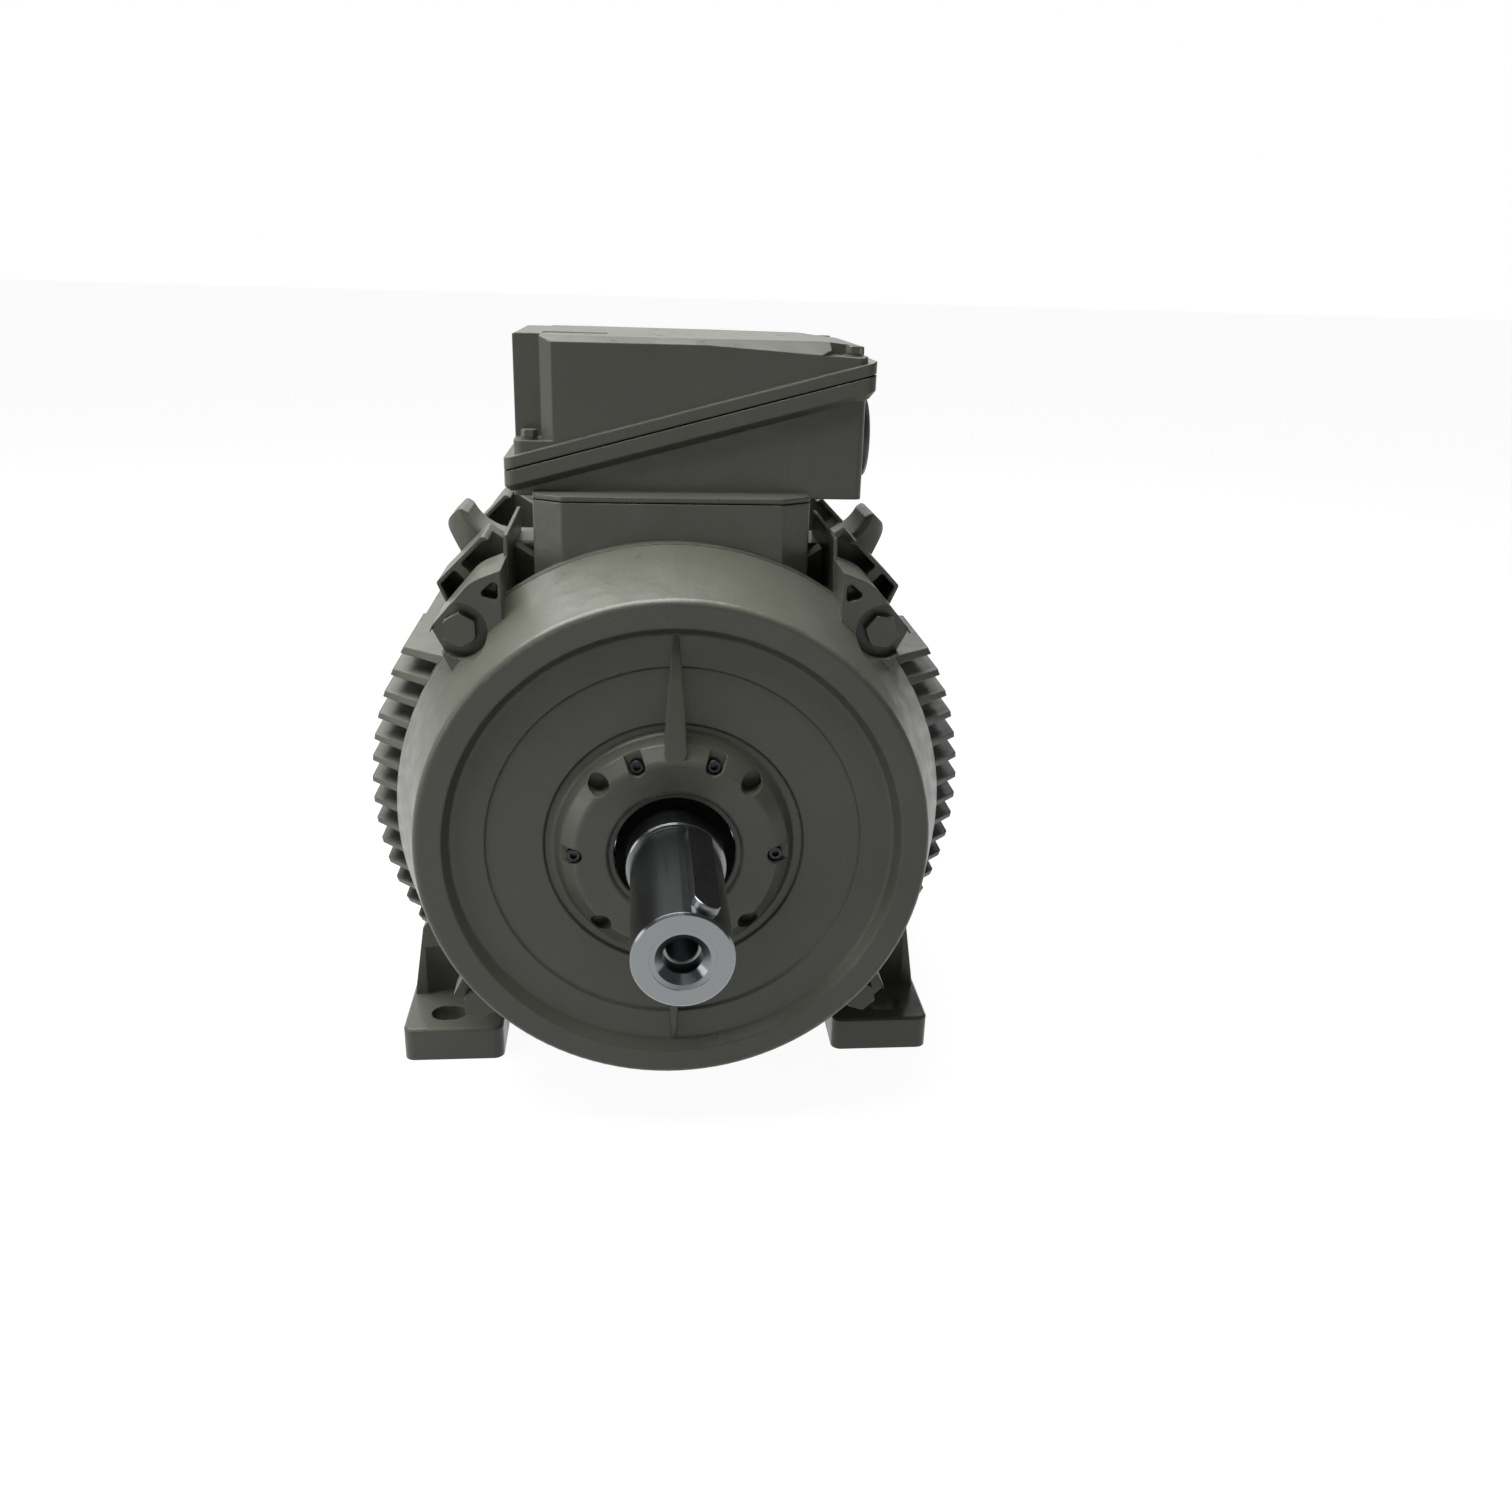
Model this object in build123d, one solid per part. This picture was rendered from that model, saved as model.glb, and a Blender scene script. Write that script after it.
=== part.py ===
"""Foot-mounted three-phase cage induction motor, IEC frame size 200L, cast-iron frame.

Row frame, in millimetres: +Z up, the drive shaft points along -Y, +X is the right-hand side seen from
the drive end (DE). The origin is the centre of the four foot slots, in the plane the feet stand on.
"Axial" values below are measured from the shaft shoulder towards the fan end (NDE).
"""

import os
from math import cos, radians, sin, sqrt

from build123d import *

# ---------------------------------------------------------------- standard interface, size 200L
SHAFT_HEIGHT = 200.0
FOOT_SPAN = 318.0
FOOT_SPACING = 305.0
SHOULDER_TO_FOOT = 133.0
SLOT_WIDTH = 19.0
SLOT_LENGTH = 25.0
SHAFT_D = 55.0
SHAFT_LENGTH = 110.0
KEY_WIDTH = 16.0
KEY_HEIGHT = 10.0
KEY_LENGTH = 100.0
KEY_SEAT_DEPTH = 6.0
KEY_ANGLE = 25.0

# ---------------------------------------------------------------- axial layout and radii
SHOULDER_Y = -(SHOULDER_TO_FOOT + FOOT_SPACING / 2)
HUB_FACE = 18.0
RIM_FACE = 24.0
FRAME_FRONT = 90.0
FRAME_BACK = 470.0
CORE_FRONT = 175.0
CORE_BACK = 395.0
COVER_FRONT = 474.0
COVER_BACK = 610.0
FRAME_BORE_R = 157.0
BARREL_R = 168.0
RING_R = 177.3
FIN_TIP_R = 200.5
FIN_PITCH = 15.0
FIN_END_SWEEP = 67.0
STATOR_BORE_R = 100.0
AIR_GAP = 0.8

# ---------------------------------------------------------------- bearings 6212: 60 x 110 x 22
BEARING_BORE_R = 30.0
BEARING_OUTER_R = 55.0
BEARING_WIDTH = 22.0
BEARING_PITCH_R = 42.5
BALL_R = 7.9
BALL_COUNT = 10
BALL_PLAY = 0.04
DE_BEARING = 38.0
NDE_BEARING = 500.0

# ---------------------------------------------------------------- corner bolts and lugs
BOLT_RADIUS = 363.4 / 2
BOLT_D = 12.0
HEX_AF = 18.8
HEAD_HEIGHT = 7.5
SPOTFACE_R = 17.0
BOLT_SEAT = 72.5
UPPER_LUG_FACE = 64.0
LOWER_LUG_FACE = 69.0
LUG_REACH = 193.3

# ---------------------------------------------------------------- bearing cap screws, M5
CAP_SCREW_ANGLES = (22, 90, 158, 202, 270, 338)
CAP_SCREW_R = 61.5
CAP_SCREW_SEAT = 26.0

# ---------------------------------------------------------------- fan cover
COVER_R = 199.0
COVER_SKIN = 2.0
COVER_SCREW_AXIAL = 479.0
COVER_SCREW_ANGLES = (28, 152, 208, 332)

# ---------------------------------------------------------------- feet
FOOT_OUTER = 189.0
FOOT_INNER = 119.0
FOOT_THICKNESS = 25.0
FRONT_FOOT = (111.0, 203.0)
REAR_FOOT = (368.0, 466.0)

# ---------------------------------------------------------------- terminal box
NECK_TOP = 400.0
NECK_FRONT = 97.0
NECK_BACK = 277.0
BOX_FRONT = 119.0
BOX_BACK = 279.0
BOX_LEFT = -98.0
BOX_RIGHT = 120.0
FLANGE_LEFT = -103.5
FLANGE_RIGHT = 125.5
FLANGE_DEPTH = (BOX_FRONT - 5.0, BOX_BACK + 5.0)
SPLIT_HEIGHT = 415.4
SPLIT_SLOPE = 0.2697
LID_FLANGE = 8.0
BASE_FLANGE = 13.0
GASKET = 1.0
LID_TOP = 496.0
BOX_WALL = 6.0
BOX_INSIDE = (BOX_LEFT + BOX_WALL, BOX_RIGHT - BOX_WALL, BOX_FRONT + BOX_WALL, BOX_BACK - BOX_WALL)
PLUG_R = 26.5
PLUG_DEPTHS = (165.0, 233.0)
PLUG_HEIGHT = 435.0
LID_SCREW_LEFT = BOX_LEFT + 10
LID_SCREW_RIGHT = BOX_RIGHT - 8
LID_PADS = {LID_SCREW_LEFT: 434.0, LID_SCREW_RIGHT: 487.5}

# ---------------------------------------------------------------- terminal board, M6 studs
TERMINAL_XS = (-30.0, 0.0, 30.0)
TERMINAL_AXIALS = (190.0, 222.0)
BOARD_TOP = 426.0

# ---------------------------------------------------------------- rating plate and outer earth screw
PLATE_PAD_X = -194.0
PLATE_HALF = (42.0, 21.0)
PLATE_AXIAL = 307.0
PLATE_Z = 230.0
EARTH_X = 150.0
EARTH_Z = 50.0

MOTOR_AXIS = Axis((0, 0, SHAFT_HEIGHT), (0, 1, 0))
SIDES = (-1, 1)
CORNER_ANGLES = (45, 135, 225, 315)


# ---------------------------------------------------------------- helpers
def rounded(points):
    """A flat face inside a closed outline; a third value on a point is that corner's radius."""
    flat = [point[:2] for point in points]
    radii = [point[2] if len(point) == 3 else 0 for point in points]
    return make_face(FilletPolyline(*flat, radius=radii, close=True))


def turned(points):
    """A ring or disc turned about the motor axis from (axial, radius, corner radius) points."""
    lifted = [(SHOULDER_Y + p[0], SHAFT_HEIGHT + p[1], *p[2:]) for p in points]
    return revolve(Plane.YZ * rounded(lifted), MOTOR_AXIS, 360)


def ring(front, back, inner, outer):
    """A plain turned ring between two axial positions."""
    return turned([(front, inner), (back, inner), (back, outer), (front, outer)])


def across(points, front, back):
    """A prism along the motor axis; its outline is given as (x, z, corner radius)."""
    section = Plane((0, SHOULDER_Y + front, 0), x_dir=(1, 0, 0), z_dir=(0, -1, 0)) * rounded(points)
    return extrude(section, front - back)


def block(x0, x1, front, back, z0, z1):
    """A plain box given by its limits; front and back are axial."""
    size = (x1 - x0, back - front, z1 - z0)
    centre = ((x0 + x1) / 2, SHOULDER_Y + (front + back) / 2, (z0 + z1) / 2)
    return Pos(*centre) * Box(*size)


def rod(x, z, front, back, radius):
    """A cylinder parallel to the motor axis."""
    middle = SHOULDER_Y + (front + back) / 2
    return Pos(x, middle, z) * Rot(90, 0, 0) * Cylinder(radius, back - front)


def post(x, axial, z0, z1, radius):
    """A vertical cylinder."""
    return Pos(x, SHOULDER_Y + axial, (z0 + z1) / 2) * Cylinder(radius, z1 - z0)


def at_angle(radius, angle):
    """The (x, z) of a point round the motor axis; 0 is straight up and 90 is +X."""
    return radius * sin(radians(angle)), SHAFT_HEIGHT + radius * cos(radians(angle))


def diagonal(side, up, reach, shift):
    """The (x, z) of a point given along and across one corner's 45-degree diagonal."""
    out = (reach + shift) / sqrt(2)
    rise = (reach - shift) / sqrt(2)
    return side * out, SHAFT_HEIGHT + up * rise


def diagonal_prism(side, up, points, front, back):
    """A prism along the motor axis whose outline is (reach, shift, corner radius) on a diagonal."""
    outline = [(*diagonal(side, up, p[0], p[1]), *p[2:]) for p in points]
    return across(outline, front, back)


def hex_prism(width, height):
    """A hexagonal prism standing on the XY plane, with its corners turned off on top."""
    blank = extrude(RegularPolygon(width / 2, 6, major_radius=False), height)
    bevel = height * 0.1
    cone = Pos(0, 0, height / 2) * Cylinder(width * 0.572, height)
    return blank & chamfer(cone.edges().sort_by(Axis.Z)[-1], bevel)


def hex_bolt(width, head, diameter, length):
    """A hexagon bolt along Z: its seat is at z = 0, the head is above and the shank below."""
    shank = Pos(0, 0, -length / 2) * Cylinder(diameter / 2, length)
    washer_face = Pos(0, 0, 0.3) * Cylinder(width * 0.47, 0.6)
    return Pos(0, 0, 0.6) * hex_prism(width, head - 0.6) + washer_face + shank


def socket_screw(head_r, head, diameter, length, socket):
    """A hexagon socket screw along Z, with its seat at z = 0."""
    cap = Pos(0, 0, head / 2) * Cylinder(head_r, head)
    cap = chamfer(cap.edges().sort_by(Axis.Z)[-1], head_r * 0.12)
    recess = Pos(0, 0, head * 0.4) * extrude(RegularPolygon(socket / 2, 6, major_radius=False), head)
    shank = Pos(0, 0, -length / 2) * Cylinder(diameter / 2, length)
    return cap - recess + shank


def forward(x, z, axial, turn=0):
    """Places a fastener modelled along Z so that its head faces the drive end."""
    return Pos(x, SHOULDER_Y + axial, z) * Rot(90, 0, 0) * Rot(0, 0, turn)


def rearward(x, z, axial, turn=0):
    """Places a fastener modelled along Z so that its head faces the fan end."""
    return Pos(x, SHOULDER_Y + axial, z) * Rot(-90, 0, 0) * Rot(0, 0, turn)


def joined(shapes):
    """All the shapes fused into one."""
    shapes = list(shapes)
    return shapes[0].fuse(*shapes[1:]) if len(shapes) > 1 else shapes[0]


def group(shapes):
    """Separate solids that share one node."""
    solids = [solid for shape in shapes for solid in shape.solids()]
    return Compound(children=solids)


def both_sides(shape):
    """The shape and its mirror image in the motor's vertical middle plane."""
    return shape + mirror(shape, about=Plane.YZ)


# ---------------------------------------------------------------- cast frame
def fin_envelope():
    """The space that the cooling fins fill: their front ends follow a 45-degree cone."""
    inner = BARREL_R - 12
    front = inner - FIN_END_SWEEP
    tip = FIN_TIP_R - FIN_END_SWEEP
    return turned([(front, inner), (tip, FIN_TIP_R, 3), (452, FIN_TIP_R, 3), (452, inner)])


def fin_row(height):
    """One pair of level side fins, thicker at the root than at the tip."""
    tip, root, root_x = 1.6, 3.0, 130.0
    edge = FIN_TIP_R + 1
    points = [(-edge, -tip), (-root_x, -root), (root_x, -root), (edge, -tip)]
    points += [(x, -z) for x, z in reversed(points)]
    return across([(x, height + z) for x, z in points], 85, 455)


def side_fins():
    """Fourteen level fins on each side, one low one, and the shelf notch of the top pair."""
    rows = [FIN_PITCH * (k + 0.5) for k in range(7)]
    heights = [SHAFT_HEIGHT + row for row in rows] + [SHAFT_HEIGHT - row for row in rows]
    heights.append(SHAFT_HEIGHT - FIN_PITCH * 7.5)
    fins = joined(fin_row(height) for height in heights) & fin_envelope()
    notch = across([(165, 290), (205, 290), (205, 305), (165, 305)], 222, 460)
    return fins - both_sides(notch)


def upright_fins():
    """Upright fins behind the turret on top, and along the bottom between the feet."""
    top = []
    for k in range(-6, 7):
        x = k * FIN_PITCH
        crest = SHAFT_HEIGHT + sqrt(199.0**2 - x * x)
        top.append(block(x - 2, x + 2, 292, 450, 320, crest))
    bottom = []
    for k in range(-5, 6):
        x = k * FIN_PITCH
        toe = SHAFT_HEIGHT - sqrt(188.0**2 - x * x)
        bottom.append(block(x - 2, x + 2, 106, 450, toe, 60))
    return joined(top + bottom)


def turret_fins():
    """The thin upright fin on each side of the turret, with its sloped front edge."""
    front = SHOULDER_Y + 95
    tall = [(front + 4, 300), (front + 4, 345), (front + 14, 378), (front + 118, 378), (front + 118, 300)]
    return both_sides(extrude(Plane.YZ * Pos(0, 0, 102) * rounded(tall), 2.4))


def turret_outline(grow=0.0):
    """The outline of the neck under the terminal box, seen from above, as (x, y) points."""
    half, flat, slant = 86.0 + grow, 68.0 + grow * 0.4, 12.0
    front = SHOULDER_Y + NECK_FRONT - grow
    back = SHOULDER_Y + NECK_BACK + grow
    right = [(flat, front, 3), (half, front + slant, 3), (half, back - slant, 3), (flat, back, 3)]
    left = [(-x, y, r) for x, y, r in reversed(right)]
    return right + left


def turret():
    """The cast neck that carries the terminal box, open down into the winding space."""
    outside = extrude(Pos(0, 0, 330) * rounded(turret_outline()), NECK_TOP - 330)
    front_root = block(-84, 84, NECK_FRONT + 10, NECK_BACK - 10, 300, 340)
    return outside + front_root


def turret_opening():
    """The passage for the winding leads, from the frame bore to the top of the neck."""
    upper = extrude(Pos(0, 0, 362) * rounded(turret_outline(-11)), 60)
    lower = block(-45, 45, 118, 168, 300, 380)
    return upper + lower


def corner_rib(side, front, back):
    """A cast corner bracket: a 45-degree plate on ribs, with two pockets open to the front."""
    shape = [(150, 22), (193.4, 10), (207.4, 4.5, 2), (207.4, -38, 2), (150, -50)]
    bracket = diagonal_prism(side, 1, shape, front, back)
    outer_pocket = [(150, 19.5), (192.5, 8.4, 2), (204.8, 3.2, 2), (204.8, -10, 2), (150, -8)]
    inner_pocket = [(150, -13.5), (204.8, -15.5, 2), (204.8, -35.5, 2), (190, -60), (150, -60)]
    depth = front + 30
    bracket -= diagonal_prism(side, 1, outer_pocket, front - 1, depth)
    bracket -= diagonal_prism(side, 1, inner_pocket, front - 1, depth)
    return bracket


def lifting_horn(side):
    """A cast lifting horn: it leans outward and has a half-round saddle for the sling."""
    saddle_x, saddle_z, saddle_r = 107.0, 391.0, 30.0
    shape = [(84, 330), (84, 361, 2), (saddle_x, 361), (139.5, 382, 3), (151, 371, 8), (118, 316), (100, 300)]
    profile = [(side * p[0], *p[1:]) for p in shape]
    tongue = upright_box(*sorted((side * 60, side * 152)), 178, 230, 290, 400, 25)
    saddle = rod(side * saddle_x, saddle_z, 170, 240, saddle_r)
    horn = (across(profile, 176, 232) & tongue) - saddle
    return fillet(horn.edges().filter_by(GeomType.CIRCLE).sort_by(Edge.length)[-2:], 3.5)


def frame_lugs(front, back):
    """The four threaded corner lugs that the endshield bolts screw into."""
    lugs = []
    for side in SIDES:
        for up in SIDES:
            shape = [(150, 26), (176.7, 17, 2), (LUG_REACH, 11, 3), (LUG_REACH, -20, 3), (150, -28)]
            lugs.append(diagonal_prism(side, up, shape, front, back))
    if front < 200:
        lugs += [upper_lug(side, front, back) for side in SIDES]
    return joined(lugs)


def upper_lug(side, front, back):
    """An upper front lug: its outer edge runs on in a straight line as far as the fin beside the turret."""
    corner = diagonal(1, 1, LUG_REACH + 1.2, 12.2)
    heel = diagonal(1, 1, 176.7, 18)
    outline = [(*heel, 2), (*corner, 3), (120.5, 358.5, 25), (102.5, 365.5)]
    outline += [(102.5, 325), (115, 300), (126, 285)]
    return across([(side * p[0], *p[1:]) for p in outline], front, back)


def foot(side, limits, slot_axial, gusset):
    """One foot pad with its leaning gusset and the round pocket that clears the bolt head."""
    inner, outer = side * FOOT_INNER, side * FOOT_OUTER
    width = abs(outer - inner)
    length = limits[1] - limits[0]
    middle = ((inner + outer) / 2, SHOULDER_Y + sum(limits) / 2)
    pad = extrude(Pos(*middle) * RectangleRounded(width, length, 7), FOOT_THICKNESS)
    pad = chamfer(pad.faces().sort_by(Axis.Z)[-1].edges(), 1.6)
    lean = [(187, 20), (186, 32), (178.5, 80), (163, 100), (100, 100), (100, 60), (124, 40), (124, 20)]
    web = across([(side * x, z) for x, z in lean], *gusset)
    slot_x = side * FOOT_SPAN / 2
    pocket = post(slot_x, slot_axial, FOOT_THICKNESS, 64, 33)
    slot = Pos(slot_x, SHOULDER_Y + slot_axial, FOOT_THICKNESS / 2)
    slot *= extrude(SlotOverall(SLOT_LENGTH, SLOT_WIDTH), FOOT_THICKNESS, both=True)
    return pad + web - pocket - slot


def feet():
    """Four feet; the rear gussets stand in front of their slots."""
    rear_slot = SHOULDER_TO_FOOT + FOOT_SPACING
    shapes = []
    for side in SIDES:
        shapes.append(foot(side, FRONT_FOOT, SHOULDER_TO_FOOT, (160, 198)))
        shapes.append(foot(side, REAR_FOOT, rear_slot, (373, 411)))
    return shapes


def stator_frame():
    """The whole cast frame: barrel, fins, neck, brackets, horns, lugs and feet."""
    barrel = ring(FRAME_FRONT, FRAME_BACK, FRAME_BORE_R - 20, BARREL_R)
    front_ring = turned([(FRAME_FRONT, 150), (FRAME_FRONT, RING_R), (102, RING_R, 3), (110, 150)])
    back_ring = turned([(FRAME_BACK, 150), (FRAME_BACK, RING_R), (457, RING_R, 3), (450, 150)])
    pieces = [barrel, front_ring, back_ring, side_fins(), upright_fins(), turret(), turret_fins()]
    pieces += [frame_lugs(FRAME_FRONT, 122), frame_lugs(438, FRAME_BACK)]
    pieces += feet()
    for side in SIDES:
        pieces += [corner_rib(side, 128, 176), corner_rib(side, 292, 330), lifting_horn(side)]
        pieces.append(diagonal_prism(side, 1, [(150, -7), (204, -11), (204, -16), (150, -18)], 170, 300))
    pieces.append(block(-194, -150, 262, 352, 206, 254))
    frame = joined(pieces)
    frame -= ring(FRAME_FRONT - 1, FRAME_BACK + 1, 0, FRAME_BORE_R)
    frame -= turret_opening()
    for angle in CORNER_ANGLES:
        x, z = at_angle(BOLT_RADIUS, angle)
        frame -= rod(x, z, FRAME_FRONT - 1, 114, BOLT_D / 2)
        frame -= rod(x, z, 446, FRAME_BACK + 1, BOLT_D / 2)
    for x, axial in base_screw_places():
        frame -= post(x, axial, NECK_TOP - 16, NECK_TOP + 1, 3)
    frame -= block(-215, PLATE_PAD_X, 258, 356, 204, 256)
    frame -= earth_hole()
    frame -= rivet_holes()
    return frame


# ---------------------------------------------------------------- endshields
def endshield_lugs(upper_face, lower_face, back):
    """The endshield's corner lugs; the upper pair reaches in to the fins beside the turret."""
    lugs = []
    for side in SIDES:
        lower = [(155, 28), (177, 20, 2), (LUG_REACH - 1.5, 15, 3)]
        lower += [(LUG_REACH - 1, -9.5, 3), (181, -14, 2), (155, -20)]
        lugs.append(diagonal_prism(side, -1, lower, lower_face, back))
        lugs.append(upper_lug(side, upper_face, back))
    return joined(lugs)


def hub_pocket(angle, width, radius, floor):
    """A D-shaped pocket round a cap screw, open towards the rim of the hub."""
    x, z = at_angle(radius, angle)
    seat = rod(x, z, HUB_FACE - 14, floor, width / 2)
    outlet = Pos(x, SHOULDER_Y + (HUB_FACE - 14 + floor) / 2, z) * Rot(0, angle, 0)
    outlet *= Pos(0, 0, width / 2) * Box(width, floor - HUB_FACE + 14, width)
    return seat + outlet


def endshield_de():
    """Drive-end shield: a deep drum with a recessed dish, steps, ribs and a bearing hub."""
    shell = turned([
        (HUB_FACE, 40.6, 2.2), (HUB_FACE, 61, 5), (26, 70, 3), (35.5, 74, 4),
        (35.5, 79.4, 0.6), (33.6, 80.6, 0.6),
        (33.6, 115, 0.6), (31.8, 116.2, 0.6), (31.8, 136.2, 3), (RIM_FACE, 141, 1), (RIM_FACE, 157.3, 4.5),
        (FRAME_FRONT, RING_R, 1), (FRAME_FRONT, FRAME_BORE_R - 0.05), (96, FRAME_BORE_R - 0.05),
        (96, 146), (84, 146, 3), (48, 140, 8), (44, 112), (46, 80, 6), (60, 72, 3), (60, BEARING_OUTER_R),
        (DE_BEARING, BEARING_OUTER_R), (DE_BEARING, 46), (31, 46), (31, 37.4), (21.5, 37.4), (21.5, 40.6),
    ])
    rib_profile = [(HUB_FACE + 0.3, 58), (26, 110), (31.5, 139), (40, 139), (40, 58)]
    ribs = []
    for angle, root, tip in ((0, 14, 3), (180, 9, 3)):
        nose = root * 0.45
        right = [(root / 2, 60, nose), (root * 0.34, 98), (tip / 2, 139)]
        left = [(-x, z, *r) for x, z, *r in reversed(right)]
        wedge = Plane.XZ.offset(-SHOULDER_Y - 16) * rounded(right + left)
        lifted = [(SHOULDER_Y + axial, radius) for axial, radius in rib_profile]
        side_view = extrude(Plane.YZ * rounded(lifted), 12, both=True)
        rib = side_view & extrude(wedge, 40, both=True)
        ribs.append(Pos(0, 0, SHAFT_HEIGHT) * Rot(0, angle, 0) * rib)
    shield = joined([shell, endshield_lugs(UPPER_LUG_FACE, LOWER_LUG_FACE, FRAME_FRONT), *ribs])
    shield -= ring(60, 97, BEARING_OUTER_R, 72) & ring(84, 97, 0, 140)
    for angle in CORNER_ANGLES:
        x, z = at_angle(BOLT_RADIUS, angle)
        shield -= rod(x, z, 40, BOLT_SEAT, SPOTFACE_R)
        shield -= rod(x, z, 40, FRAME_FRONT + 1, BOLT_D / 2 + 0.75)
        shield -= rod(*at_angle(64.5, angle), 0, 33, 6.4)
    for side in SIDES:
        pocket = [(104.6, 347, 2.5), (117, 350.5, 2.5), (104.6, 361, 2.5)]
        face = across([(side * p[0], *p[1:]) for p in pocket], 60, UPPER_LUG_FACE + 12)
        shield -= chamfer(face.faces().sort_by(Axis.Y)[-1].edges(), 2)
    for angle in CAP_SCREW_ANGLES:
        shield -= hub_pocket(angle, 10.4, CAP_SCREW_R, CAP_SCREW_SEAT)
        shield -= rod(*at_angle(CAP_SCREW_R, angle), 10, 61, 3.3)
    shield -= post(-24, 80, 0, 80, 4)
    return shield


def endshield_nde():
    """Fan-end shield: a ribbed disc behind the fan, with the bearing hub."""
    shell = turned([
        (FRAME_BACK, FRAME_BORE_R - 0.05), (464, FRAME_BORE_R - 0.05), (464, 146),
        (478, 144, 5), (486, 112, 6),
        (NDE_BEARING, 80, 8), (NDE_BEARING, BEARING_OUTER_R),
        (NDE_BEARING + BEARING_WIDTH + 2.6, BEARING_OUTER_R), (NDE_BEARING + BEARING_WIDTH + 2.6, 40),
        (533, 40, 1), (533, 66, 4), (512, 76, 5), (500, 112, 5), (490, 160, 6), (486, 172, 2),
        (FRAME_BACK, RING_R, 1),
    ])
    lugs = []
    shape = [(155, 26), (177, 18, 2), (LUG_REACH, 12, 3), (LUG_REACH, -12, 3), (177, -18, 2), (155, -26)]
    for side in SIDES:
        for up in SIDES:
            lugs.append(diagonal_prism(side, up, shape, FRAME_BACK, 488))
    ribs = []
    for angle in range(0, 360, 45):
        sweep = [(505, 68), (528, 64), (514, 100), (493, 158), (484, 152), (495, 110)]
        lifted = [(SHOULDER_Y + axial, radius) for axial, radius in sweep]
        rib = extrude(Plane.YZ * rounded(lifted), 3, both=True)
        ribs.append(Pos(0, 0, SHAFT_HEIGHT) * Rot(0, angle, 0) * rib)
    for angle in COVER_SCREW_ANGLES:
        boss = Pos(0, 0, SHAFT_HEIGHT) * Rot(0, angle, 0) * block(-8, 8, 472, 486, 166, 199)
        ribs.append(ring(470, 488, 150, COVER_R - COVER_SKIN) & boss)
    shield = joined([shell, *lugs, *ribs])
    for angle in CORNER_ANGLES:
        x, z = at_angle(BOLT_RADIUS, angle)
        shield -= rod(x, z, FRAME_BACK - 1, 500, BOLT_D / 2 + 0.75)
        shield -= rod(x, z, 484, 500, 12.5)
    for angle in COVER_SCREW_ANGLES:
        shield -= radial_hole(angle, 2.5)
    for angle in CAP_SCREW_ANGLES:
        shield -= rod(*at_angle(CAP_SCREW_R, angle), 490, 534, 3.3)
        shield -= rod(*at_angle(CAP_SCREW_R, angle), 526, 540, 5.6)
    shield -= post(24, 478, 0, 60, 4)
    return shield


def corner_bolts_de():
    """Four M12 hexagon bolts through the drive-end shield; their heads stop at chance angles."""
    turns = {45: 20, 135: 12, 225: 3, 315: 0}
    bolts = []
    for angle in CORNER_ANGLES:
        bolt = hex_bolt(HEX_AF, HEAD_HEIGHT, BOLT_D, 40)
        bolts.append(forward(*at_angle(BOLT_RADIUS, angle), BOLT_SEAT, 30 + turns[angle]) * bolt)
    return group(bolts)


def corner_bolts_nde():
    """Four M12 hexagon bolts through the fan-end shield, under the fan cover."""
    bolts = []
    for angle in CORNER_ANGLES:
        bolt = hex_bolt(HEX_AF, HEAD_HEIGHT, BOLT_D, 36)
        bolts.append(rearward(*at_angle(BOLT_RADIUS, angle), 484, angle / 3) * bolt)
    return group(bolts)


def bearing_cap(face, towards):
    """An inner bearing cap, bolted against the hub; towards is +1 where it points to the fan end."""
    shape = [(0, 36), (0, 68), (8, 68, 2), (15, 60, 3), (15, 36)]
    cap = turned([(face + towards * p[0], *p[1:]) for p in shape])
    for angle in CAP_SCREW_ANGLES:
        x, z = at_angle(CAP_SCREW_R, angle)
        near, far = sorted((face - towards, face + towards * 16))
        cap -= rod(x, z, near, far, 2.5)
    return cap


def cap_screws_de():
    """M5 socket screws from the hub pockets into the inner cap."""
    screw = socket_screw(4.25, 5, 5, 46, 4)
    return group(forward(*at_angle(CAP_SCREW_R, a), CAP_SCREW_SEAT, a) * screw for a in CAP_SCREW_ANGLES)


def cap_screws_nde():
    """M5 socket screws from the fan-end hub into its inner cap."""
    screw = socket_screw(4.25, 5, 5, 40, 4)
    return group(rearward(*at_angle(CAP_SCREW_R, a), 526, a) * screw for a in CAP_SCREW_ANGLES)


# ---------------------------------------------------------------- bearings
def bearing_ring(front, outer):
    """One ring of a deep-groove ball bearing, with its ball groove."""
    back = front + BEARING_WIDTH
    middle = (front + back) / 2
    shoulder = 4.6
    if outer:
        body = turned([
            (front, BEARING_PITCH_R + shoulder), (back, BEARING_PITCH_R + shoulder),
            (back, BEARING_OUTER_R, 1), (front, BEARING_OUTER_R, 1),
        ])
    else:
        body = turned([
            (front, BEARING_BORE_R, 1), (back, BEARING_BORE_R, 1),
            (back, BEARING_PITCH_R - shoulder), (front, BEARING_PITCH_R - shoulder),
        ])
    section = Pos(SHOULDER_Y + middle, SHAFT_HEIGHT + BEARING_PITCH_R) * Circle(BALL_R + BALL_PLAY)
    return body - revolve(Plane.YZ * section, MOTOR_AXIS, 360)


def ball_places():
    """The angles of the balls round the bearing."""
    return [360 / BALL_COUNT * k for k in range(BALL_COUNT)]


def bearing_balls(front):
    """The balls of one bearing."""
    middle = SHOULDER_Y + front + BEARING_WIDTH / 2
    balls = []
    for angle in ball_places():
        x, z = at_angle(BEARING_PITCH_R, angle)
        balls.append(Pos(x, middle, z) * Sphere(BALL_R))
    return group(balls)


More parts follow.
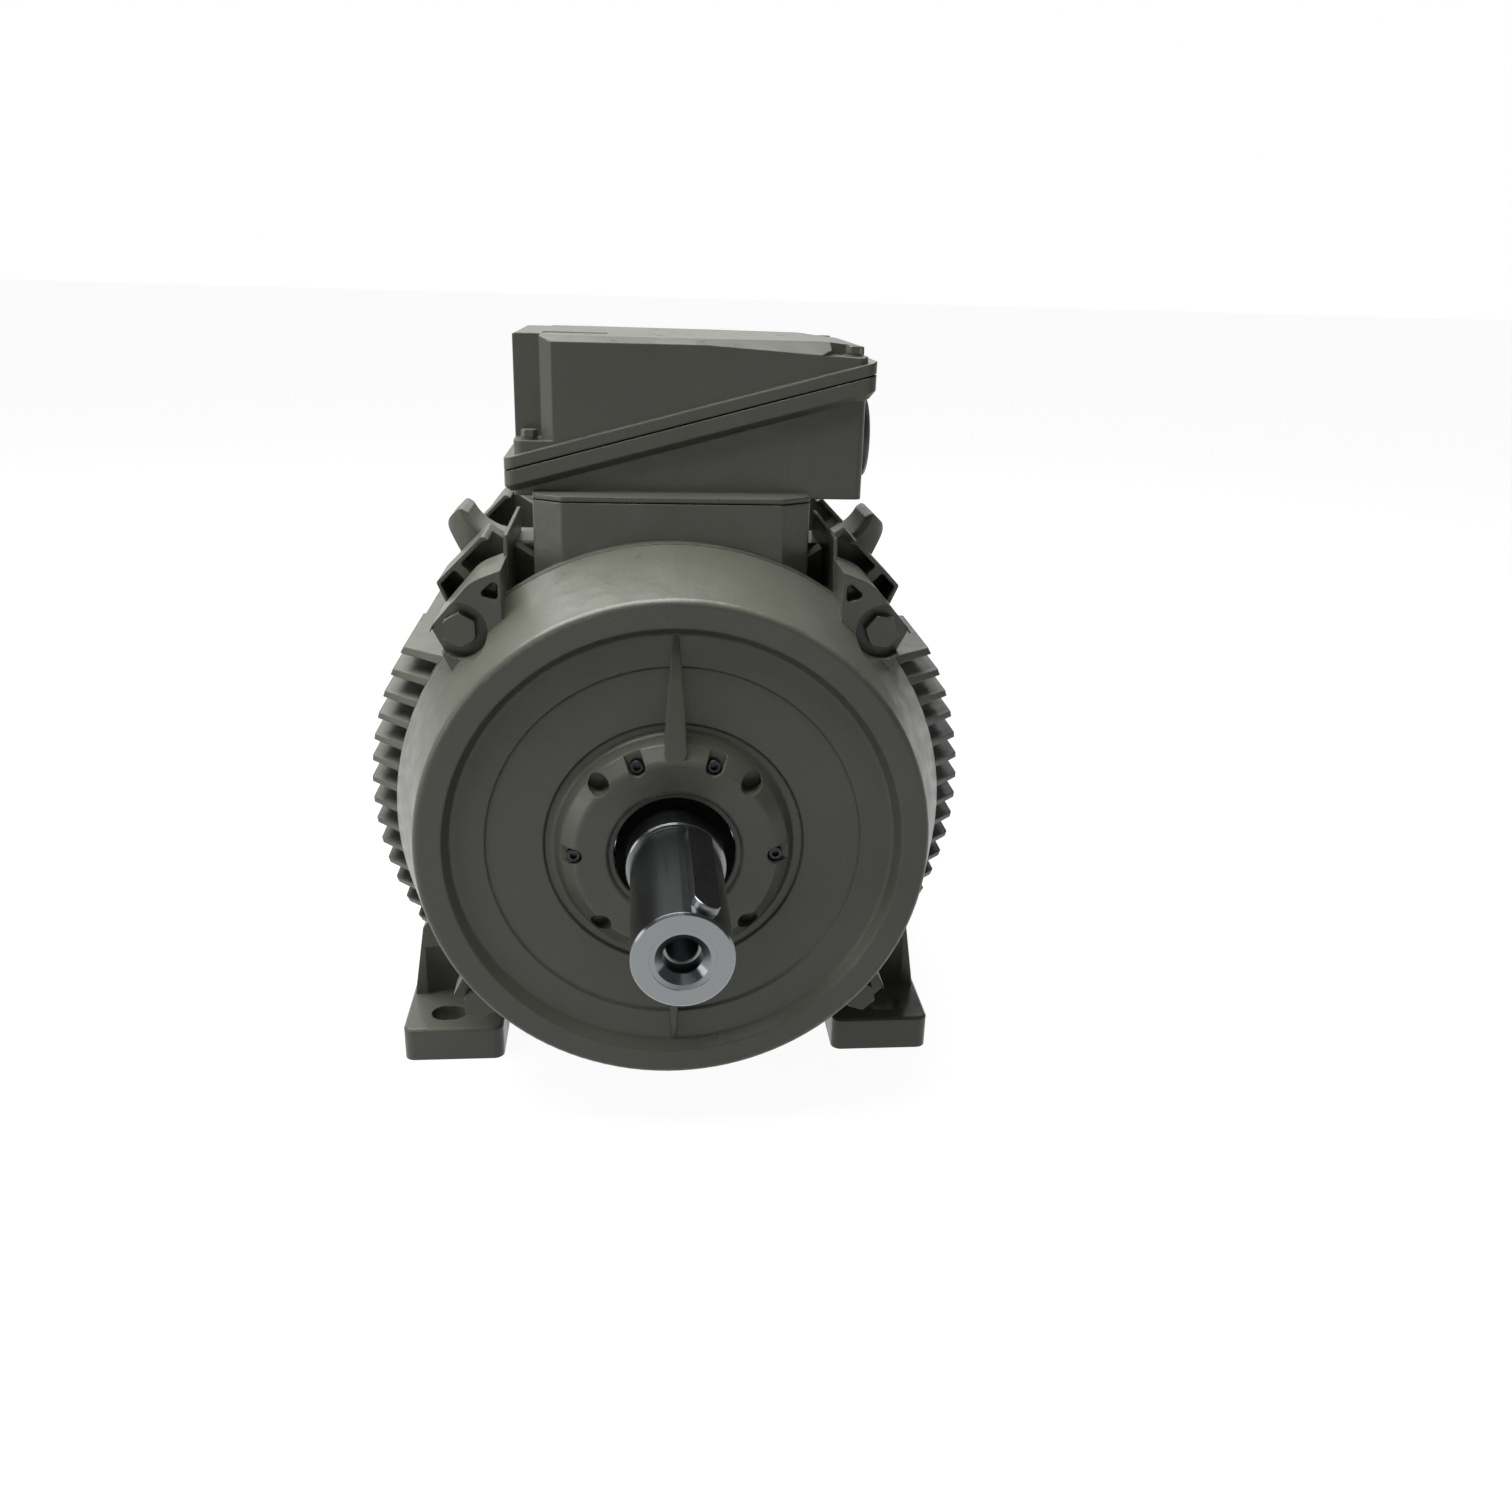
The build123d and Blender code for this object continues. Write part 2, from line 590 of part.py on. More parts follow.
def bearing_cage(front):
    """A ring cage between the bearing rings, with a pocket for each ball."""
    middle = front + BEARING_WIDTH / 2
    cage = ring(middle - 9.5, middle + 9.5, BEARING_PITCH_R - 2.2, BEARING_PITCH_R + 2.2)
    for angle in ball_places():
        x, z = at_angle(BEARING_PITCH_R, angle)
        cage -= Pos(x, SHOULDER_Y + middle, z) * Sphere(BALL_R + 0.15)
    return cage


def preload_spring():
    """The wave washer that loads the fan-end bearing, drawn as a flat ring at its worked height."""
    front = NDE_BEARING + BEARING_WIDTH
    return ring(front + 0.1, front + 2.5, 47.5, 54.3)


# ---------------------------------------------------------------- stator and rotor, electrical parts
def stator_core():
    """The laminated stator stack with open slots to the bore."""
    core = ring(CORE_FRONT, CORE_BACK, STATOR_BORE_R, FRAME_BORE_R)
    slot = block(-3.4, 3.4, CORE_FRONT - 1, CORE_BACK + 1, STATOR_BORE_R - 2, 126)
    return core.cut(*[Pos(0, 0, SHAFT_HEIGHT) * Rot(0, 10 * k, 0) * slot for k in range(36)])


def end_winding(front, back):
    """The coil ends as one bound ring."""
    return turned([(front, 103, 8), (back, 103, 8), (back, 140, 14), (front, 146, 14)])


def rotor_core():
    """The laminated rotor stack, with a round slot for every cage bar."""
    core = ring(CORE_FRONT, CORE_BACK, 38, STATOR_BORE_R - AIR_GAP)
    return core.cut(*[rod(*at_angle(91, a), CORE_FRONT - 1, CORE_BACK + 1, 4) for a in bar_angles()])


def bar_angles():
    """The angles of the cage bars."""
    return [360 / 28 * k for k in range(28)]


def rotor_cage():
    """The cast aluminium cage: bars, end rings and short fan wings."""
    bars = [rod(*at_angle(91, a), CORE_FRONT, CORE_BACK, 4) for a in bar_angles()]
    rings = [ring(CORE_FRONT - 16, CORE_FRONT, 74, 97), ring(CORE_BACK, CORE_BACK + 16, 74, 97)]
    wings = []
    for k in range(12):
        for front, back in ((CORE_FRONT - 34, CORE_FRONT - 15), (CORE_BACK + 15, CORE_BACK + 34)):
            wing = block(-2, 2, front, back, 78, 94)
            wings.append(Pos(0, 0, SHAFT_HEIGHT) * Rot(0, 30 * k, 0) * wing)
    return joined(rings + bars + wings)


# ---------------------------------------------------------------- shaft line
def shaft():
    """The stepped shaft: keyed drive end, seal and bearing seats, core seat and fan seat."""
    tip = -SHAFT_LENGTH
    body = turned([
        (tip, 0), (tip, SHAFT_D / 2 - 1.2), (tip + 1.2, SHAFT_D / 2), (0, SHAFT_D / 2),
        (0, BEARING_BORE_R - 1), (1, BEARING_BORE_R),
        (DE_BEARING + BEARING_WIDTH, BEARING_BORE_R), (DE_BEARING + BEARING_WIDTH, 34.5, 1),
        (CORE_FRONT - 8, 34.5), (CORE_FRONT - 8, 38), (CORE_BACK + 8, 38), (CORE_BACK + 8, 34.5),
        (NDE_BEARING, 34.5, 1), (NDE_BEARING, BEARING_BORE_R), (546, BEARING_BORE_R, 1), (546, 24),
        (588, 24, 1), (588, 0),
    ])
    hole = turned([
        (tip - 1, 0), (tip - 1, 17.6), (tip + 0.2, 17.6), (tip + 0.9, 14.8), (tip + 5.2, 10.5),
        (tip + 15, 10.5), (tip + 15.5, 8.75), (tip + 50, 8.75), (tip + 55, 0),
    ])
    body -= hole
    body -= key_shape(SHAFT_D / 2 - KEY_SEAT_DEPTH, KEY_HEIGHT + 4)
    seat = Pos(0, SHOULDER_Y + 565, SHAFT_HEIGHT + 24) * Box(8, 36, 7)
    groove = ring(584, 585.8, 22.6, 30)
    return body - seat - groove


def key_shape(floor_radius, height):
    """A round-ended key blank whose underside is at the given radius, at the key's angle."""
    blank = extrude(Pos(0, 0, floor_radius) * Rot(0, 0, 90) * SlotOverall(KEY_LENGTH, KEY_WIDTH), height)
    middle = SHOULDER_Y - SHAFT_LENGTH / 2
    return Pos(0, middle, SHAFT_HEIGHT) * Rot(0, KEY_ANGLE, 0) * blank


def shaft_key():
    """The parallel key of the drive end, 16 x 10, with bevelled top edges."""
    key = key_shape(SHAFT_D / 2 - KEY_SEAT_DEPTH, KEY_HEIGHT)
    x, z = at_angle(1, KEY_ANGLE)
    outward = Axis((0, 0, SHAFT_HEIGHT), (x, 0, z - SHAFT_HEIGHT))
    return chamfer(key.faces().sort_by(outward)[-1].edges(), 0.5)


def v_ring(front, towards):
    """A rubber V-ring on the shaft collar; its thin lip leans to the sealing face."""
    shape = [(0, 30), (9, 30), (9, 34.5, 1), (4, 35.5, 1)]
    shape += [(3, 34), (0.8, 36.7, 0.3), (-0.4, 36.2, 0.3), (1, 33)]
    return turned([(front + towards * p[0], *p[1:]) for p in shape])


def fan():
    """The straight-bladed cooling fan, which works in either direction."""
    hub = ring(548, 582, 24, 40)
    disc = turned([(548, 38), (551, 38), (556, 140), (553, 140)])
    blades = []
    for k in range(8):
        outline = [(550, 36), (554, 150, 3), (590, 150, 6), (582, 36)]
        lifted = [(SHOULDER_Y + p[0], *p[1:]) for p in outline]
        blade = extrude(Plane.YZ * rounded(lifted), 1.8, both=True)
        blades.append(Pos(0, 0, SHAFT_HEIGHT) * Rot(0, 45 * k + 22.5, 0) * blade)
    keyway = Pos(0, SHOULDER_Y + 565, SHAFT_HEIGHT + 25.5) * Box(8, 40, 5.2)
    bore = ring(540, 600, 0, 24)
    return joined([hub, disc, *blades]) - bore - keyway


def fan_key():
    """The small parallel key that drives the fan."""
    return Pos(0, SHOULDER_Y + 565, SHAFT_HEIGHT + 24) * Box(8, 34, 7)


def fan_circlip():
    """The circlip behind the fan hub."""
    clip = ring(584.1, 585.7, 22.6, 28)
    gap = block(-3.5, 3.5, 580, 590, SHAFT_HEIGHT - 40, SHAFT_HEIGHT - 10)
    return clip - gap


# ---------------------------------------------------------------- fan cover
def radial_hole(angle, radius):
    """A radial hole for one cover screw."""
    hole = Pos(0, 0, 190) * Cylinder(radius, 30)
    return Pos(0, SHOULDER_Y + COVER_SCREW_AXIAL, SHAFT_HEIGHT) * Rot(0, angle, 0) * hole


def fan_cover():
    """The pressed steel fan cover with a ring-slot grille in its end."""
    inner = COVER_R - COVER_SKIN
    cover = turned([
        (COVER_FRONT, inner), (COVER_FRONT, COVER_R), (COVER_BACK - 26, COVER_R, 14), (COVER_BACK, 174, 10),
        (COVER_BACK, 0), (COVER_BACK - COVER_SKIN, 0), (COVER_BACK - COVER_SKIN, 173.2, 8),
        (COVER_BACK - 27, inner, 12),
    ])
    slots = []
    for k in range(11):
        radius = 38 + 11.5 * k
        slots.append(ring(COVER_BACK - 6, COVER_BACK + 3, radius, radius + 7))
    bars = []
    for k in range(8):
        bar = block(-4.5, 4.5, COVER_BACK - 8, COVER_BACK + 4, 0, 180)
        bars.append(Pos(0, 0, SHAFT_HEIGHT) * Rot(0, 45 * k, 0) * bar)
    cover -= joined(slots) - joined(bars)
    for angle in COVER_SCREW_ANGLES:
        cover -= radial_hole(angle, 3.3)
    return cover


def cover_screws():
    """Four M5 pan-type hexagon screws that hold the fan cover."""
    screw = Pos(0, 0, COVER_R) * hex_bolt(8, 4, 5, 20)
    middle = Pos(0, SHOULDER_Y + COVER_SCREW_AXIAL, SHAFT_HEIGHT)
    return group(middle * Rot(0, angle, 0) * screw for angle in COVER_SCREW_ANGLES)


# ---------------------------------------------------------------- terminal box
def split_height(x):
    """Height of the slanted joint between base and lid."""
    return SPLIT_HEIGHT + (x - FLANGE_LEFT) * SPLIT_SLOPE


def split_line(offset):
    """The slanted joint from right to left, as two (x, z) points."""
    return [(x, split_height(x) + offset) for x in (200, -200)]


def slanted_band(x0, x1, below, above, front, back, radius):
    """A slab that follows the slanted joint, seen from above as a rounded rectangle."""
    outline = [(x0, split_height(x0) - below), (x1, split_height(x1) - below)]
    outline += [(x1, split_height(x1) + above), (x0, split_height(x0) + above)]
    slab = across(outline, front, back)
    size = (x1 - x0, back - front)
    middle = ((x0 + x1) / 2, SHOULDER_Y + (front + back) / 2)
    column = extrude(Pos(*middle) * Pos(0, 0, 380) * RectangleRounded(*size, radius), 160)
    return slab & column


def upright_box(x0, x1, front, back, z0, z1, radius):
    """A box with rounded upright corners."""
    middle = ((x0 + x1) / 2, SHOULDER_Y + (front + back) / 2)
    return extrude(Pos(*middle) * Pos(0, 0, z0) * RectangleRounded(x1 - x0, back - front, radius), z1 - z0)


def below_split(offset=0.0):
    """Everything under the slanted joint."""
    return across([(-200, 380), (200, 380), *split_line(offset)], 60, 340)


def above_split(offset=0.0):
    """Everything above the slanted joint."""
    return across([(-200, 560), (200, 560), *split_line(offset)], 60, 340)


def terminal_box_base():
    """The cast base: a wedge with a slanted flange, cable entries and an open floor."""
    collar = extrude(Pos(0, 0, NECK_TOP + 0.8) * rounded(turret_outline()), 3)
    body = upright_box(BOX_LEFT, BOX_RIGHT, BOX_FRONT, BOX_BACK, NECK_TOP + 0.8, 500, 5)
    outside = joined([body, collar]) & below_split()
    flange = slanted_band(FLANGE_LEFT, FLANGE_RIGHT, BASE_FLANGE, 0, *FLANGE_DEPTH, 7)
    underside = flange.faces().sort_by(lambda face: face.normal_at().Z)[0]
    flange = chamfer(underside.edges(), 3.8)
    cavity = upright_box(*BOX_INSIDE, NECK_TOP + 8, 520, 4)
    floor_hole = block(-40, 40, 150, 245, NECK_TOP - 5, NECK_TOP + 20)
    bosses = []
    for x, axial in lid_screw_places():
        bosses.append(post(x, axial, NECK_TOP + 4, 500, 7.5))
    walls = joined([outside, flange]) - cavity
    walls = joined([walls, *[boss & below_split() & body for boss in bosses]]) - floor_hole
    for x, axial in lid_screw_places():
        walls -= post(x, axial, split_height(x) - 20, 520, 2.5)
    for x, axial in base_screw_places():
        walls -= post(x, axial, NECK_TOP - 1, 450, 3.3)
    for axial in PLUG_DEPTHS:
        walls -= sideways(axial, PLUG_HEIGHT, BOX_RIGHT - 20, BOX_RIGHT + 20, 25)
    walls -= post(-60, 175, NECK_TOP + 1, NECK_TOP + 12, 2.5)
    for x in (-28, 28):
        walls -= post(x, 205 + 52, NECK_TOP + 2, NECK_TOP + 12, 2)
    return walls


def sideways(axial, z, x0, x1, radius):
    """A cylinder along X."""
    return Pos((x0 + x1) / 2, SHOULDER_Y + axial, z) * Rot(0, 90, 0) * Cylinder(radius, x1 - x0)


def lid_screw_places():
    """The four lid screws as (x, axial)."""
    return [(x, axial) for x in (LID_SCREW_LEFT, LID_SCREW_RIGHT) for axial in (BOX_FRONT + 9, BOX_BACK - 9)]


def base_screw_places():
    """The four screws that hold the box on the neck, as (x, axial)."""
    return [(x, axial) for x in (-62, 62) for axial in (BOX_FRONT + 14, BOX_BACK - 14)]


def corner_notch(x, axial):
    """The upright corner space over one lid screw pad, with a 45-degree inner edge."""
    side = -1 if x < 0 else 1
    near = BOX_FRONT if axial < 200 else BOX_BACK
    inward = 1 if axial < 200 else -1
    outer_x = x + side * 20
    reach_x = side * (abs(BOX_LEFT) - 18) if side < 0 else BOX_RIGHT - 22
    depth = 22.0
    y0 = SHOULDER_Y + near - inward * 10
    y1 = SHOULDER_Y + near + inward * depth
    slope_x = reach_x - side * 7
    y_edge = SHOULDER_Y + near
    points = [(outer_x, y0), (slope_x, y0), (slope_x, y_edge)]
    points += [(reach_x, y_edge + inward * 7), (reach_x, y1, 2), (outer_x, y1)]
    return extrude(Pos(0, 0, LID_PADS[x]) * rounded(points), 90)


def terminal_box_lid():
    """The cast lid: a wedge-shaped cap with a slanted flange and notched screw corners."""
    top = [(-98.5, 380), (-98.5, LID_TOP, 3), (92, LID_TOP - 0.6, 20), (121, 492.5, 2), (121, 380)]
    side_view = across(top, BOX_FRONT - 1, BOX_BACK + 1)
    plan = upright_box(BOX_LEFT + 0.5, BOX_RIGHT + 0.5, BOX_FRONT, BOX_BACK, 400, 520, 6)
    front, back, crest = BOX_FRONT, BOX_BACK, LID_TOP + 0.1
    outline = [(front - 5, 520), (front - 5, 492.4), (front, 492.4), (front + 9, crest)]
    outline += [(back - 9, crest), (back, 492.4), (back + 5, 492.4), (back + 5, 520)]
    lifted = [(SHOULDER_Y + axial, z) for axial, z in outline]
    bevels = extrude(Plane.YZ * rounded(lifted), 130, both=True)
    cap = (side_view & plan) - bevels - lid_corner_slope(BOX_FRONT, 1) - lid_corner_slope(BOX_BACK, -1)
    notches = [corner_notch(x, axial) for x, axial in lid_screw_places()]
    cap = cap - joined(notches)
    flange = slanted_band(FLANGE_LEFT, FLANGE_RIGHT, 0, LID_FLANGE, *FLANGE_DEPTH, 7)
    outside = joined([cap & above_split(), flange])
    cavity_plan = upright_box(BOX_LEFT + 7, BOX_RIGHT - 7, BOX_FRONT + 7, BOX_BACK - 7, 400, LID_TOP - 6, 4)
    cavity = cavity_plan - joined([offset_notch(shape) for shape in notches])
    inner_top = [(-95, 380), (-95, LID_TOP - 6), (80, LID_TOP - 6), (114, 480, 3), (114, 380)]
    cavity &= across(inner_top, BOX_FRONT, BOX_BACK)
    lid = outside - cavity
    for x, axial in lid_screw_places():
        lid -= post(x, axial, split_height(x) - 3, LID_PADS[x] + 20, 3.3)
    lid -= across([(-80, 600), (-40, 600), (-40, LID_TOP - 0.8), (-80, LID_TOP - 0.8)], 146, 172)
    return lid & above_split(GASKET)


def lid_corner_slope(edge, inward):
    """The space above the lid's sloping right end, which dips towards one of its two screw corners."""
    y = SHOULDER_Y + edge
    start = Vector(20, y, 492.4)
    along = Vector(97, y, 487.6) - start
    rise = Vector(97, y + inward * 16, 494.8) - start
    up = along.cross(rise) * inward
    return extrude(Plane(start, x_dir=along, z_dir=up) * Rectangle(500, 500), 80)


def offset_notch(notch):
    """The notch together with the wall that lines it."""
    box = notch.bounding_box()
    wall = 7.0
    size = (box.size.X + 2 * wall, box.size.Y + 2 * wall, box.size.Z + 2 * wall)
    return Pos(*box.center()) * Box(*size)


def lid_gasket():
    """The flat gasket in the slanted joint."""
    outer = slanted_band(FLANGE_LEFT + 1.5, FLANGE_RIGHT - 1.5, 0, GASKET, BOX_FRONT - 3.5, BOX_BACK + 3.5, 6)
    inner = block(*BOX_INSIDE, 390, 520)
    gasket = outer - inner
    for x, axial in lid_screw_places():
        gasket -= post(x, axial, 390, 520, 3.3)
    return gasket


def base_gasket():
    """The gasket between the neck and the box."""
    seat = extrude(Pos(0, 0, NECK_TOP) * rounded(turret_outline(-1)), 0.8)
    seat -= extrude(Pos(0, 0, NECK_TOP - 1) * rounded(turret_outline(-11)), 3)
    for x, axial in base_screw_places():
        seat -= post(x, axial, NECK_TOP - 1, NECK_TOP + 2, 3.3)
    return seat


def lid_screws():
    """Four M5 hexagon screws with captive washers, upright in the notched corners."""
    screws = []
    for x, axial in lid_screw_places():
        seat = LID_PADS[x]
        length = seat - (split_height(x) - 18)
        washer = Pos(0, 0, 0.5) * Cylinder(5.6, 1)
        screw = Pos(0, 0, 1) * hex_bolt(9, 5, 5, length + 1)
        screws.append(Pos(x, SHOULDER_Y + axial, seat) * joined([screw, washer]))
    return group(screws)


def base_screws():
    """Four M6 socket screws through the floor of the box into the neck."""
    screw = socket_screw(5, 6, 6, 22, 5)
    floor = NECK_TOP + 8
    return group(Pos(x, SHOULDER_Y + axial, floor) * screw for x, axial in base_screw_places())


def terminal_board():
    """The moulded terminal board on its two feet."""
    board = upright_box(-52, 52, 172, 242, BOARD_TOP - 10, BOARD_TOP, 5)
    legs = [block(x, x + 11, 180, 234, NECK_TOP + 8, BOARD_TOP - 9) for x in (-52, 41)]
    barriers = [block(x - 1.5, x + 1.5, 174, 240, BOARD_TOP - 1, BOARD_TOP + 9) for x in (-15, 15)]
    board = joined([board, *legs, *barriers])
    for x in TERMINAL_XS:
        for axial in TERMINAL_AXIALS:
            board -= post(x, axial, BOARD_TOP - 12, BOARD_TOP + 2, 3)
    return board


def terminal_studs():
    """Six brass M6 studs."""
    places = [(x, axial) for x in TERMINAL_XS for axial in TERMINAL_AXIALS]
    return group(post(x, axial, BOARD_TOP - 10, BOARD_TOP + 18, 3) for x, axial in places)


def terminal_links():
    """Three brass links that join the studs in pairs, for delta connection."""
    links = []
    for x in TERMINAL_XS:
        front, back = TERMINAL_AXIALS[0] - 7, TERMINAL_AXIALS[1] + 7
        bar = upright_box(x - 6, x + 6, front, back, BOARD_TOP, BOARD_TOP + 1.6, 5)
        for axial in TERMINAL_AXIALS:
            bar -= post(x, axial, BOARD_TOP - 1, BOARD_TOP + 3, 3)
        links.append(bar)
    return group(links)


def terminal_nuts():
    """Six M6 nuts on the links."""
    nuts = []
    for x in TERMINAL_XS:
        for axial in TERMINAL_AXIALS:
            nut = hex_prism(10, 5) - Pos(0, 0, 2.5) * Cylinder(3, 8)
            nuts.append(Pos(x, SHOULDER_Y + axial, BOARD_TOP + 1.6) * nut)
    return group(nuts)


def inner_earth_screw():
    """The earth screw and its clamp on the floor of the box."""
    clamp = post(-60, 175, NECK_TOP + 8, NECK_TOP + 10, 7)
    screw = Pos(-60, SHOULDER_Y + 175, NECK_TOP + 10) * hex_bolt(8, 4, 5, 8)
    return joined([clamp, screw])


def entry_plugs():
    """Two blanking plugs in the cable entries on the right side."""
    plugs = []
    for axial in PLUG_DEPTHS:
        head = sideways(axial, PLUG_HEIGHT, BOX_RIGHT + 1.5, BOX_RIGHT + 7, PLUG_R)
        head = chamfer(head.edges().sort_by(Axis.X)[-1], 1.8)
        thread = sideways(axial, PLUG_HEIGHT, BOX_RIGHT - BOX_WALL - 4, BOX_RIGHT + 2, 24.95)
        slot = Pos(BOX_RIGHT + 7, SHOULDER_Y + axial, PLUG_HEIGHT) * Box(5, 30, 4)
        plugs.append(joined([head, thread]) - slot)
    return group(plugs)


def plug_seals():
    """The sealing rings under the plugs."""
    seals = []
    for axial in PLUG_DEPTHS:
        disc = sideways(axial, PLUG_HEIGHT, BOX_RIGHT, BOX_RIGHT + 1.5, PLUG_R - 0.6)
        seals.append(disc - sideways(axial, PLUG_HEIGHT, BOX_RIGHT - 1, BOX_RIGHT + 3, 25))
    return group(seals)


# ---------------------------------------------------------------- small parts on the frame
def rivet_places():
    """The corners of the rating plate as (axial, z)."""
    reach = (PLATE_HALF[0] - 4, PLATE_HALF[1] - 4)
    return [(PLATE_AXIAL + a * reach[0], PLATE_Z + b * reach[1]) for a in SIDES for b in SIDES]


def rivet_holes():
    """The holes for the plate's rivets in the cast pad."""
    return joined(sideways(axial, z, PLATE_PAD_X - 1, PLATE_PAD_X + 8, 1.5) for axial, z in rivet_places())


def rating_plate():
    """A blank metal plate on the left side."""
    plate = block(
        PLATE_PAD_X - 0.8, PLATE_PAD_X, PLATE_AXIAL - PLATE_HALF[0], PLATE_AXIAL + PLATE_HALF[0],
        PLATE_Z - PLATE_HALF[1], PLATE_Z + PLATE_HALF[1])
    return plate - joined(sideways(a, z, PLATE_PAD_X - 2, PLATE_PAD_X + 1, 1.5) for a, z in rivet_places())


def plate_rivets():
    """Four drive rivets."""
    rivets = []
    for axial, z in rivet_places():
        pin = sideways(axial, z, PLATE_PAD_X - 1, PLATE_PAD_X + 6, 1.5)
        head = sideways(axial, z, PLATE_PAD_X - 2, PLATE_PAD_X - 0.8, 2.8)
        rivets.append(joined([pin, chamfer(head.edges().sort_by(Axis.X)[0], 0.6)]))
    return group(rivets)


def earth_hole():
    """The threaded hole for the outer earth screw, in the back of the right front gusset."""
    return rod(EARTH_X, EARTH_Z, 180, 199, 4)


def outer_earth_terminal():
    """The outer earth screw with its square clamp washer."""
    washer = Pos(EARTH_X, SHOULDER_Y + 199.5, EARTH_Z) * Box(18, 3, 18)
    screw = rearward(EARTH_X, EARTH_Z, 201, 10) * hex_bolt(13, 5.5, 8, 18)
    return joined([washer, screw])


def drain_plugs():
    """Plastic plugs in the drain holes of both endshields."""
    return group([post(-24, 80, 29, 44, 3.95), post(24, 478, 25, 40, 3.95)])


# ---------------------------------------------------------------- write one STEP per sub-part
PARTS = {
    "stator_frame": stator_frame,
    "endshield_de": endshield_de,
    "endshield_nde": endshield_nde,
    "endshield_bolts_de": corner_bolts_de,
    "endshield_bolts_nde": corner_bolts_nde,
    "bearing_cap_de": lambda: bearing_cap(DE_BEARING + BEARING_WIDTH, 1),
    "bearing_cap_nde": lambda: bearing_cap(NDE_BEARING, -1),
    "cap_screws_de": cap_screws_de,
    "cap_screws_nde": cap_screws_nde,
    "bearing_outer_ring_de": lambda: bearing_ring(DE_BEARING, True),
    "bearing_outer_ring_nde": lambda: bearing_ring(NDE_BEARING, True),
    "bearing_inner_ring_de": lambda: bearing_ring(DE_BEARING, False),
    "bearing_inner_ring_nde": lambda: bearing_ring(NDE_BEARING, False),
    "bearing_balls_de": lambda: bearing_balls(DE_BEARING),
    "bearing_balls_nde": lambda: bearing_balls(NDE_BEARING),
    "bearing_cage_de": lambda: bearing_cage(DE_BEARING),
    "bearing_cage_nde": lambda: bearing_cage(NDE_BEARING),
    "preload_spring": preload_spring,
    "stator_core": stator_core,
    "end_winding_de": lambda: end_winding(CORE_FRONT - 58, CORE_FRONT),
    "end_winding_nde": lambda: end_winding(CORE_BACK, CORE_BACK + 58),
    "rotor_core": rotor_core,
    "rotor_cage": rotor_cage,
    "shaft": shaft,
    "shaft_key": shaft_key,
    "v_ring_de": lambda: v_ring(23, 1),
    "v_ring_nde": lambda: v_ring(543.5, -1),
    "fan": fan,
    "fan_key": fan_key,
    "fan_circlip": fan_circlip,
    "fan_cover": fan_cover,
    "fan_cover_screws": cover_screws,
    "terminal_box_base": terminal_box_base,
    "terminal_box_lid": terminal_box_lid,
    "lid_gasket": lid_gasket,
    "base_gasket": base_gasket,
    "lid_screws": lid_screws,
    "base_screws": base_screws,
    "terminal_board": terminal_board,
    "terminal_studs": terminal_studs,
    "terminal_links": terminal_links,
    "terminal_nuts": terminal_nuts,
    "inner_earth_screw": inner_earth_screw,
    "cable_entry_plugs": entry_plugs,
    "plug_seals": plug_seals,
    "rating_plate": rating_plate,
    "rating_plate_rivets": plate_rivets,
    "outer_earth_terminal": outer_earth_terminal,
    "drain_plugs": drain_plugs,
}


def main():
    os.makedirs("parts", exist_ok=True)
    for name, make in PARTS.items():
        export_step(make(), f"parts/{name}.step")


main()
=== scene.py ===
"""The electric motor's materials, with a floor, soft studio light and the camera. Lengths are in metres."""

from math import cos, pi, sin

import bpy
from mathutils import Matrix, Vector

SHAFT_HEIGHT = 0.2
THREAD_PITCH = 0.0025
CENTRE_HOLE_RADIUS = 0.0092
SHEET_THICKNESS = 0.0005
PLATE_ROW = 0.006
PLATE_COLUMN = 0.021

STONE_GREY = (0.114, 0.117, 0.094)
STONE_GREY_DARK = (0.107, 0.110, 0.088)
STONE_GREY_LIGHT = (0.122, 0.124, 0.101)
SHEET_DARK = (0.13, 0.13, 0.14)
SHEET_LIGHT = (0.26, 0.26, 0.27)
COPPER_DARK = (0.16, 0.05, 0.015)
COPPER_LIGHT = (0.50, 0.20, 0.07)
PLATE_BRIGHT = (0.62, 0.62, 0.61)
PLATE_LINES = (0.08, 0.08, 0.08)
WHITE = (1, 1, 1, 1)

NOISE_LOW, NOISE_HIGH = 0.3, 0.7
EDGE_SAMPLES = 4
FLOOR_SIZE = 60
FLOOR_DROP = 0.0002
FLOOR_ALBEDO = 0.12
FLOOR_GLOW = 0.95
SKY_LIGHT = 0.11

CAMERA_PLACE = (-0.0242, -0.9892, 0.5331)
CAMERA_YAW, CAMERA_PITCH, CAMERA_ROLL = 0.099, 0.354, 0.029
LENS_MM = 31.0
SENSOR_MM = 36


